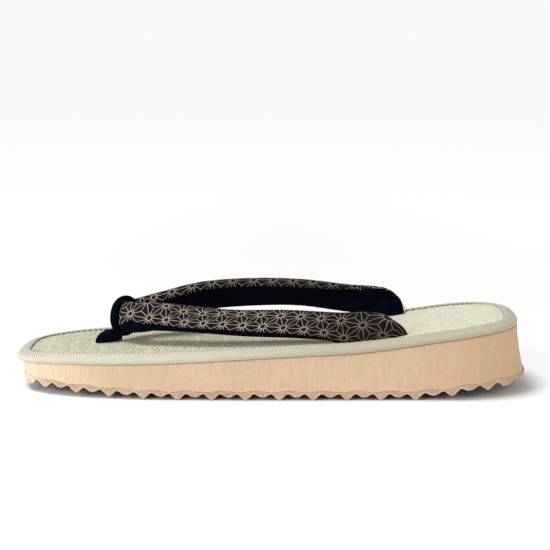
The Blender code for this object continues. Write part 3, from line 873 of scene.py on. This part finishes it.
# %% A row of stitches round the mat
def stitch_round():
    """Copies of the stitch just inside the tape's inner edge, pulled deeper into it at the heel."""
    stitch = stitch_shape()
    edge, outward, _ = outline(int(tape_way[-1] / 1000 / STITCH_PITCH))
    edge = edge - outward * (tape_width(edge, outward) + STITCH_OFFSET)[:, None]
    stitches = []
    for (x, y), (nx, ny) in zip(edge, outward):
        slope = float(top_height(x - 0.001 * ny) - top_height(x)) / 0.001
        along = unit(np.array([-ny, nx, slope]))
        side = np.array([nx, ny, 0.0])
        rotation = np.column_stack([along, side, np.cross(along, side)])
        sunk = STITCH_SINK + HEEL_STITCH_SINK * float(smooth_step((nx - 0.35) / 0.3))
        stitches.append(place_copy(stitch, rotation, np.array([x, y, float(top_height(x)) - sunk])))
    bpy.data.objects.remove(stitch)
    return join(stitches, "running_stitch")


stitch_row = stitch_round()
thread = Finish("olive_thread", 0.7, 0.2)
ply = thread.noise(thread.places(), 2400.0, 1.0)
thread.coat(thread.mix(ply, (0.060, 0.065, 0.030), (0.150, 0.150, 0.085)), ply, 0.0001)
dress(stitch_row, thread, None)

# %% [markdown]
# ## Padded strap
# The hanao is a tube of cloth over padding. Printed cotton covers its outer face and turns over its edges,
# and velvet lines the face that lies on the foot. The two are sewn together along both edges, so a shallow
# groove runs there. The middle line and the turn of the strap repeat the CAD's, in metres.

# %% Middle line of the strap
STRAP_WIDTH = 0.0170
STRAP_THICKNESS = 0.0088
STRAP_RISE = 0.0140
STRAP_SPREAD = 0.0245
STRAP_ROUNDNESS = 2.3
FOLD_PLACE = 0.2150

STRAP_LINE = np.array([
    # place, side, rise over the mat, facing and lean in degrees, width, thickness
    (0.7560, -1.000, -0.620, -90, 5, 0.90, 0.62),
    (0.7510, -1.000, -0.130, -90, 6, 0.90, 0.64),
    (0.7340, -1.000, 0.185, -90, 8, 0.90, 0.66),
    (0.7110, -0.990, 0.430, -91, 12, 0.91, 0.70),
    (0.6610, -0.955, 0.590, -92, 22, 0.92, 0.76),
    (0.5660, -0.925, 0.730, -94, 40, 0.91, 0.92),
    (0.4700, -0.815, 0.815, -99, 50, 0.92, 0.98),
    (0.3700, -0.610, 0.935, -103, 50, 0.92, 0.98),
    (0.2910, -0.410, 0.975, -107, 34, 0.90, 0.92),
    (0.2480, -0.310, 0.945, -116, 18, 0.88, 0.80),
    (FOLD_PLACE, 0.000, 0.930, -180, 8, 0.86, 0.70),
    (0.2480, 0.310, 0.975, -244, 16, 0.88, 0.80),
    (0.2910, 0.420, 1.120, -253, 24, 0.92, 0.90),
    (0.3700, 0.630, 1.320, -257, 30, 0.98, 0.96),
    (0.4700, 0.830, 1.290, -261, 33, 0.98, 0.98),
    (0.5660, 0.940, 1.150, -266, 34, 0.95, 0.94),
    (0.6610, 0.970, 0.870, -268, 24, 0.92, 0.78),
    (0.7260, 0.990, 0.640, -269, 12, 0.90, 0.70),
    (0.7480, 1.000, 0.400, -270, 8, 0.90, 0.66),
    (0.7530, 1.000, 0.080, -270, 6, 0.90, 0.64),
    (0.7520, 1.000, -0.480, -270, 5, 0.90, 0.62),
])


def curve_through(points, steps):
    """Points on a smooth curve through given ones, with the same number of steps between each."""
    padded = np.vstack([2 * points[0] - points[1], points, 2 * points[-1] - points[-2]])
    line = []
    for i in range(len(points) - 1):
        a, b, c, d = padded[i:i + 4]
        for t in np.arange(steps) / steps:
            line.append(0.5 * (2 * b + (c - a) * t + (2 * a - 5 * b + 4 * c - d) * t ** 2
                               + (3 * b - a - 3 * c + d) * t ** 3))
    line.append(points[-1])
    return np.array(line)


def strap_rows(steps):
    """Point, facing, lean, width and thickness along the strap."""
    rows = curve_through(STRAP_LINE, steps)
    x = TOE_END + rows[:, 0] * MAT_LENGTH
    y = rows[:, 1] * STRAP_SPREAD
    z = mat_height(x) + rows[:, 2] * STRAP_RISE
    facing, lean = np.radians(rows[:, 3:5]).T
    return np.column_stack([x, y, z, facing, lean, rows[:, 5] * STRAP_WIDTH, rows[:, 6] * STRAP_THICKNESS])


def strap_frame(direction, facing, lean):
    """Unit vectors across the strap: along its width, and out through its printed face."""
    outward = np.array([math.cos(facing), math.sin(facing), 0.0])
    outward = unit(outward - direction * np.dot(outward, direction))
    upward = np.cross(direction, outward)
    along_width = math.cos(lean) * upward - math.sin(lean) * outward
    through = math.cos(lean) * outward + math.sin(lean) * upward
    return along_width, through


def rounded(values):
    return np.sign(values) * np.abs(values) ** (2 / STRAP_ROUNDNESS)


# %% [markdown]
# ## Where the print lies on the strap
# The cloth is cut as a straight strip, with a row of stars a few millimetres from its edge, and it twists a
# little round the padding. A short table says where two rows of stars and the two seams lie on the strap at
# each length, counted from the near arm's rear end. The sections have columns exactly on the seams, so the
# groove there is sharp and the velvet begins right at it.

# %% Tables of the print, in millimetres
STAR_PITCH = 9.33
ROW_PITCH = 8.2
ROW_SHIFT = 1.6

PRINT_ROWS = np.array([
    # length along the strap, ways round it: first and second row of stars, lower and upper seam
    (0.0, -9.4, -3.4, -12.0, 8.0), (13.4, -8.9, -1.2, -11.7, 10.5), (23.7, -7.5, 0.8, -10.7, 11.9),
    (33.0, -5.7, 2.2, -8.8, 12.7), (43.0, -4.1, 2.2, -7.2, 12.7), (61.0, -4.4, 1.6, -7.5, 12.4),
    (80.0, -4.2, 1.9, -7.3, 12.4), (89.3, -4.2, 1.5, -7.3, 12.3), (98.5, -4.3, 0.5, -7.4, 12.2),
    (107.5, -4.0, 0.9, -7.1, 12.6), (117.0, -2.7, 4.4, -5.8, 13.8), (127.0, -1.1, 8.0, -4.2, 15.2),
    (134.6, 1.6, 9.8, -1.5, 16.4), (143.0, 2.2, 10.4, -5.2, 15.6), (152.0, 2.6, 10.8, -9.0, 14.4),
    (160.0, 2.9, 11.1, -9.2, 13.9), (170.0, 2.7, 10.9, -9.2, 13.9), (190.0, 2.3, 10.5, -9.2, 13.9),
    (210.0, 2.4, 10.6, -9.2, 13.9), (230.0, 2.0, 10.2, -9.2, 13.7), (245.0, 1.7, 9.9, -9.2, 13.0),
    (257.0, 1.4, 9.6, -9.2, 11.4), (268.0, 1.2, 9.4, -9.2, 10.0), (278.0, 1.2, 9.4, -9.2, 9.0),
    (288.7, 1.2, 9.4, -9.2, 8.6),
])
STAR_PLACES = np.array([
    # length along the strap, length along the cloth from a star
    (0.0, 131.8), (13.4, 119.7), (23.7, 110.4), (33.9, 101.0), (143.0, -8.1), (160.9, -29.6),
    (169.5, -38.9), (179.8, -48.3), (189.1, -57.6), (199.5, -66.9), (209.8, -76.3), (219.6, -85.6),
    (229.2, -94.9), (239.0, -104.2), (249.0, -113.6), (260.3, -122.9), (270.7, -132.2), (288.7, -148.4),
])
STRAP_TRIM = np.array([
    # length along the strap, how much narrower it is at its upper and at its lower edge
    (12.0, 0.0, 0.0), (20.0, 0.5, 0.0), (27.0, 1.4, -0.3), (34.0, 2.0, -0.8), (36.5, 2.0, -0.8),
    (38.5, 2.0, 0.0), (43.5, 1.9, 0.0), (53.6, 1.5, 0.0), (62.0, 1.3, 0.0), (72.0, 1.5, 0.0),
    (81.0, 2.0, 0.0), (89.0, 2.1, 0.1), (98.0, 1.8, 0.3), (108.0, 1.1, 0.7), (117.0, 0.6, 0.9),
    (125.0, 0.0, 1.1), (131.0, 0.0, 0.5), (136.0, 0.0, 0.0),
])

# %% Sections of the strap
PRINT_COLUMNS = 56
VELVET_COLUMNS = 40
STRAP_STEPS = 20
RING_STEPS = 720
SEAM_DEPTH = 0.00032
SEAM_REACH = 0.60
SEAM_WANDER = 0.05
GATHER_DEPTH = 0.00013
GATHER_REACH = 3.2
GATHER_LENGTH = 0.42


def cloth_way(along, way):
    """Way across the printed cloth from its first row of stars, in millimetres, at points of one section."""
    first, second = read_table(PRINT_ROWS, along, 1, 2)
    inside = ROW_PITCH * (way - first) / (second - first)
    return np.where(way < first, way - first, np.where(way < second, inside, ROW_PITCH + way - second))


def strap_sections():
    """Sections of the padded strap: columns over the printed cloth, then over the velvet."""
    rows = strap_rows(STRAP_STEPS)
    along = way_along(rows[:, :3]) * 1000
    turn = np.linspace(-math.pi, math.pi, RING_STEPS + 1)
    across, depth = rounded(np.sin(turn)), rounded(np.cos(turn))
    rng = np.random.default_rng(11)
    waves = [(rng.uniform(5.0, 16.0), rng.uniform(0, 6.28), rng.normal()) for _ in range(14)]

    def waver(length, stretch, turns):
        return sum(size * math.sin(2 * math.pi * length / (wave * stretch) + shift * turns)
                   for wave, shift, size in waves)

    sections, ways = [], []
    for row, direction, length in zip(rows, unit(np.gradient(rows[:, :3], axis=0)), along):
        wide, through = strap_frame(direction, row[3], row[4])
        top_trim, low_trim = read_table(STRAP_TRIM, length, 1, 2)
        centre = row[:3] + wide * (low_trim - top_trim) / 2000
        width = row[5] - (top_trim + low_trim) / 1000
        round_it = np.outer(across, wide) * width / 2 + np.outer(depth, through) * row[6] / 2
        way = way_along(round_it * 1000)
        girth = way[-1]
        way += low_trim / 2 - way[RING_STEPS // 2]
        low, high = read_table(PRINT_ROWS, length, 3, 4)
        wander = SEAM_WANDER * waver(length, 1.0, 1)
        low, high = low + wander, high - 0.7 * wander
        stops = np.concatenate([np.linspace(low, high, PRINT_COLUMNS),
                                np.linspace(high, low + girth, VELVET_COLUMNS + 2)[1:-1]])
        on_ring = np.where(stops > way[-1], stops - girth, stops)
        points = np.column_stack([np.interp(on_ring, way, round_it[:, axis]) for axis in range(3)])
        to_seam = np.min(np.abs([stops - low, stops - low - girth, stops - high]), axis=0)
        groove = SEAM_DEPTH * np.exp(-(to_seam / SEAM_REACH) ** 2)
        gathers = GATHER_DEPTH * np.exp(-(to_seam / GATHER_REACH) ** 2) * waver(length, GATHER_LENGTH, 2) / 3
        sections.append(centre + points - unit(points) * (groove - gathers)[:, None])
        ways.append(np.concatenate([cloth_way(length, stops[:PRINT_COLUMNS]), stops[PRINT_COLUMNS:]]))
    return np.array(sections), along, np.array(ways), rows


# %% The strap, its ends standing on the wedge
strap_points, strap_along, strap_ways, strap_line = strap_sections()
wedge_under = wedge_top((strap_points[..., 0] - TOE_END - SOLE_TOE_INSET) / SOLE_LENGTH)
strap_points[..., 2] = np.maximum(strap_points[..., 2], wedge_under + CLEARANCE)
cloth_along, = read_table(STAR_PLACES, strap_along, 1)
strap = wrap("padded_strap", strap_points, cloth_along[:, None], strap_ways, caps=True)
print("strap", len(strap_points), "sections,", round(strap_along[-1], 1), "mm long")

# %% [markdown]
# ## Hemp-leaf print
# The print is the old hemp-leaf pattern, which is drawn on a net of equal triangles: lines along their sides
# and from their middles to their corners, so that twelve lines meet in a star. The material works out which
# star is nearest and how far the nearest line is. The line is pale where the dye was kept off the cloth.

# %% The nearest star
printed_cotton = Finish("printed_cotton", 0.8, 0.07, 0.10)
printed_cotton.set(Sheen_Roughness=0.35, Sheen_Tint=(0.55, 0.48, 0.80, 1.0))
along_cloth, over_cloth = printed_cotton.uv_parts()
rows_up = over_cloth * (1 / ROW_PITCH)
net_x = (along_cloth + rows_up * ROW_SHIFT) * (1 / STAR_PITCH) - rows_up * 0.5
net_y = rows_up * (math.sqrt(3) / 2)


def offset_from_star(shift):
    """Distance and angle from the nearest star of one of the two square-cornered nets that hold all stars."""
    height = math.sqrt(3)
    along = net_x - 0.5 * shift
    x = along - along.calculate("ROUND")
    line = (net_y * (1 / height) - 0.5 * shift).calculate("ROUND")
    y = net_y - 0.5 * shift * height - line * height
    return (x * x + y * y).calculate("SQRT"), y.calculate("ARCTAN2", x)


radius_a, angle_a = offset_from_star(0)
radius_b, angle_b = offset_from_star(1)
nearer_b = radius_b.calculate("LESS_THAN", radius_a)
radius = radius_a.calculate("MINIMUM", radius_b) * STAR_PITCH
angle = angle_a * (1.0 - nearer_b) + angle_b * nearer_b

# %% Lines and rings, in millimetres; a line is broader close to its star
LINE_HALF = 0.075
LINE_BROADER = 0.09
LINE_BLEED = 0.10
RING_RADIUS = 1.22
RING_HALF = 0.14

print_places = printed_cotton.places()
bleed = printed_cotton.noise(print_places, 900.0) * LINE_BLEED
aside = (angle + 2 * math.pi).calculate("PINGPONG", math.pi / 12)
to_line = radius * aside.calculate("SINE")
line_half = radius.between(3.4, 1.2) * LINE_BROADER + LINE_HALF + bleed
on_line = to_line.calculate("LESS_THAN", line_half) * radius.calculate("GREATER_THAN", RING_RADIUS)
on_ring = abs(radius - RING_RADIUS).calculate("LESS_THAN", RING_HALF)
pale = on_line.calculate("MAXIMUM", on_ring)

# %% Dye, and lines darkened towards the heel as painted shade, and darker on the far arm
print_x, print_y, _ = printed_cotton.split(print_places)
mottled = printed_cotton.noise(print_places, 300.0, 3.0)
weave = printed_cotton.node("TexWave", {"Vector": print_places, "Scale": 900.0, "Distortion": 1.0}, "Fac",
                            bands_direction="X")
ground = printed_cotton.mix(mottled, (0.003, 0.002, 0.002), (0.012, 0.008, 0.009))
ink_and_painted_shade = printed_cotton.layered(
    printed_cotton.mix(mottled, (0.30, 0.245, 0.20), (0.50, 0.42, 0.345)),
    # painted shade: the pale lines are made darker towards the heel, where less light falls
    (print_x.between(0.000, 0.045) * 0.85, (0.175, 0.137, 0.110)),
    (print_y.between(0.004, 0.012) * 0.6, (0.140, 0.108, 0.078)))
printed_cotton.coat(printed_cotton.mix(pale, ground, ink_and_painted_shade), weave + mottled, 0.00012, 0.5)

# %% Velvet
velvet = Finish("navy_velvet", 0.95, 0.035, 0.02)
velvet.set(Sheen_Roughness=0.35, Sheen_Tint=(0.25, 0.27, 0.75, 1.0))
pile = velvet.noise(velvet.places(), 1500.0, 3.0)
brushed = velvet.noise(velvet.places(), 160.0)
navy = velvet.mix(pile, (0.0004, 0.0004, 0.0014), (0.0028, 0.0028, 0.0100))
velvet.coat(velvet.mix(brushed.between(0.35, 0.75), navy, (0.0030, 0.0030, 0.0120)), pile, 0.0003, 0.7)

# %% Printed cloth on the first columns of each section, velvet on the others and on the ends
strap.data.materials.clear()
for cloth in (printed_cotton, velvet):
    strap.data.materials.append(cloth.material)
columns = PRINT_COLUMNS + VELVET_COLUMNS
index = np.arange(len(strap.data.polygons))
lined = (index % columns >= PRINT_COLUMNS - 1) | (index >= (len(strap_points) - 1) * columns)
strap.data.polygons.foreach_set("material_index", lined.astype(np.int32))
strap.data.update()
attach(strap, "root")
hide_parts("hanao_strap")
print("strap", int(lined.sum()), "faces of velvet,", int((~lined).sum()), "of printed cotton")

# %% [markdown]
# ## Toe thong
# A velvet cord comes up through the mat, leans back and wraps once round the place where the two arms meet.
# The cord and its loop are formed as two tubes, joined, and then remeshed and relaxed, so the velvet runs
# over the joint in one soft knob, as it does where the cloth is stretched over the padding.

# %% Sizes of the cord and its loop
CORD_DIAMETER = 0.0062
LOOP_FRONT = 0.0040
LOOP_WRAP = 0.0011
LOOP_FILL = 0.0004
LOOP_TOP = 0.0024
LOOP_BACK = 0.0026
LOOP_SLACK = 0.0014
LOOP_WIDTH = 0.0066
LOOP_NARROWS = 0.45
VOXEL = 0.00026
SIDEWAYS = np.array([0.0, 1.0, 0.0])

CORD_LINE = np.array([
    # distance back from the hole, height over the mat and thickness, as shares of the cord's diameter
    (0.00, -0.40, 1.00), (0.00, 0.06, 1.00), (0.15, 0.31, 1.00), (0.52, 0.53, 1.02), (1.05, 0.57, 0.96),
    (1.60, 0.60, 0.74),
])


# %% Sections of the cord and its loop
def loop_rows(count=72, sides=28):
    """Sections round the loop that holds the strap's fold: thick in front, slim in the arms' gap."""
    fold = strap_line[np.argmin(strap_line[:, 0])]
    centre, lean, half_wide, half_thick = fold[:3], fold[4], fold[5] / 2, fold[6] / 2
    upward = np.array([math.sin(lean), 0.0, math.cos(lean)])
    forward = np.array([-math.cos(lean), 0.0, math.sin(lean)])
    turns = 2 * math.pi * np.arange(sides) / sides
    rows = []
    for angle in 2 * math.pi * np.arange(count) / count:
        front, back = max(0.0, math.cos(angle)), max(0.0, -math.cos(angle))
        thickness = LOOP_FRONT * front ** 2 + LOOP_BACK * back ** 2 + LOOP_TOP * math.sin(angle) ** 2
        width = LOOP_WIDTH + (LOOP_BACK - LOOP_WIDTH) * float(smooth_step(LOOP_NARROWS + back))
        reach_out = half_thick + CLEARANCE + thickness / 2 + LOOP_SLACK * back
        reach_up = half_wide + CLEARANCE + thickness / 2
        along, across = rounded(np.array([math.cos(angle), math.sin(angle)]))
        middle = centre + forward * reach_out * along + upward * reach_up * across
        outward = unit(forward * math.cos(angle) * reach_up + upward * math.sin(angle) * reach_out)
        wrap_back = LOOP_WRAP * front * np.sin(turns) ** 2 + LOOP_FILL * front * np.clip(-np.cos(turns), 0, 1)
        rows.append(middle + np.outer(rounded(np.cos(turns)) * thickness / 2 - wrap_back, outward)
                    + np.outer(rounded(np.sin(turns)), SIDEWAYS) * width / 2)
    return rows


def cord_rows(sides=28):
    """Sections of the cord, square to its way."""
    line = curve_through(CORD_LINE, 8)
    middles = np.column_stack([HOLE_X + line[:, 0] * CORD_DIAMETER, np.zeros(len(line)),
                               mat_height(HOLE_X) + line[:, 1] * CORD_DIAMETER])
    rows = []
    for middle, direction, thick in zip(middles, unit(np.gradient(middles, axis=0)), line[:, 2]):
        upward = np.cross(SIDEWAYS, direction)
        rows.append(ring(middle, upward, SIDEWAYS, thick * CORD_DIAMETER / 2, sides))
    return rows


# %% The thong
def apply_modifier(piece, kind, name, **settings):
    """Add a modifier, set it and apply it."""
    modifier = piece.modifiers.new(name, kind)
    for key, value in settings.items():
        setattr(modifier, key, value)
    only(piece)
    bpy.ops.object.modifier_apply(modifier=name)


thong = wrap("toe_cord", cord_rows(), 0.0, 0.0, caps=True)
loop = wrap("cord_loop", loop_rows(), 0.0, 0.0, close_along=True)
apply_modifier(thong, "BOOLEAN", "join", operation="UNION", object=loop, solver="EXACT")
bpy.data.objects.remove(loop)
apply_modifier(thong, "REMESH", "even", mode="VOXEL", voxel_size=VOXEL)
apply_modifier(thong, "SMOOTH", "relax", iterations=6, factor=0.5)
only(thong)
bpy.ops.object.shade_smooth()
dress(thong, velvet, "toe_thong")

# %% [markdown]
# ## Loose threads
# The printed cloth is cut, not hemmed. Where the far arm goes down into the mat, its pale weft threads have
# come loose along the cut, and a tuft of dyed ones sticks out at its very end. A short row of pale ones shows
# under the near arm, where it comes up from the mat. Each is a thin bent tube.

# %% One thread
THREAD_SIDE = np.array([0.31, 0.52, 0.80])


def thread_tube(points, radius):
    """A thin tube through a few points, finer towards its end."""
    line = curve_through(np.array(points), 3)
    rows = []
    for middle, direction, taper in zip(line, unit(np.gradient(line, axis=0)), np.linspace(1.0, 0.55, len(line))):
        side = unit(np.cross(direction, THREAD_SIDE))
        rows.append(ring(middle, side, np.cross(direction, side), radius * taper, 5))
    return wrap("thread", rows, 0.0, 0.0, caps=True)


def strap_row(length):
    """The strap's section nearest to a length along it, in millimetres."""
    return int(np.argmin(np.abs(strap_along - length)))


# %% Threads along the seam, and two tufts
FINE_THREAD = 0.000085
THREAD = 0.000110


def seam_threads(chance):
    """Threads along the upper seam of the far arm, more of them close to its end."""
    tubes = []
    for _ in range(46):
        row = strap_row(262.0 + 24.0 * chance.random() ** 0.8)
        start = strap_points[row, PRINT_COLUMNS - 1 + chance.choice((-1, 0, 0, 1))]
        out = unit(start - strap_line[row, :3])
        drift = np.array([chance.uniform(-1, 1), chance.uniform(-1.0, 0.2), chance.uniform(-0.9, 0.6)])
        reach = chance.uniform(0.0005, 0.0019)
        middle = start + out * 0.00025 + drift * reach * 0.35
        end = middle + drift * reach * 0.6 + out * reach * chance.uniform(0.0, 0.5)
        tubes.append(thread_tube((start - out * 0.0002, middle, end), FINE_THREAD))
    return tubes


def tuft(chance, count, span, edge_column, columns, drifts, reaches, root, tail):
    """Threads that stick out of a cut edge over a span of the strap, in the ways and lengths that are given."""
    tubes = []
    for _ in range(count):
        row = strap_row(chance.uniform(*span))
        start = strap_points[row, edge_column(row) - chance.randrange(columns)]
        drift = np.array([chance.uniform(*limits) for limits in drifts])
        reach = chance.uniform(*reaches)
        middle = start + drift * reach * 0.5
        tubes.append(thread_tube((start - drift * root, middle, middle + drift * reach * tail), THREAD))
    return tubes


chance = random.Random(5)
seam_fray = seam_threads(chance)
far_tuft = tuft(chance, 30, (278.0, 284.0), lambda row: PRINT_COLUMNS - 1, 7,
                ((0.4, 1.2), (-0.8, 0.3), (-0.5, 0.5)), (0.0008, 0.0022), 0.0003, 0.5)
near_tuft = tuft(chance, 34, (36.5, 44.5), lambda row: int(np.argmin(strap_points[row, :, 2])), 4,
                 ((-1.0, 1.0), (-1.0, -0.3), (-0.25, 0.15)), (0.0006, 0.0014), 0.0, 0.4)
fray = join(seam_fray + far_tuft + near_tuft, "frayed_threads")

# %% Weft thread, dyed where the far tuft is
weft = Finish("weft_thread", 0.85, 0.2)
weft_places = weft.places()
weft_noise = weft.noise(weft_places, 1800.0, 1.0)
undyed = weft.mix(weft_noise, (0.42, 0.38, 0.33), (0.80, 0.76, 0.70))
dyed = weft.split(weft_places)[0].between(0.0615, 0.0630)
weft.coat(weft.mix(dyed, undyed, (0.10, 0.075, 0.06)), weft_noise, 0.0001)
dress(fray, weft, None)
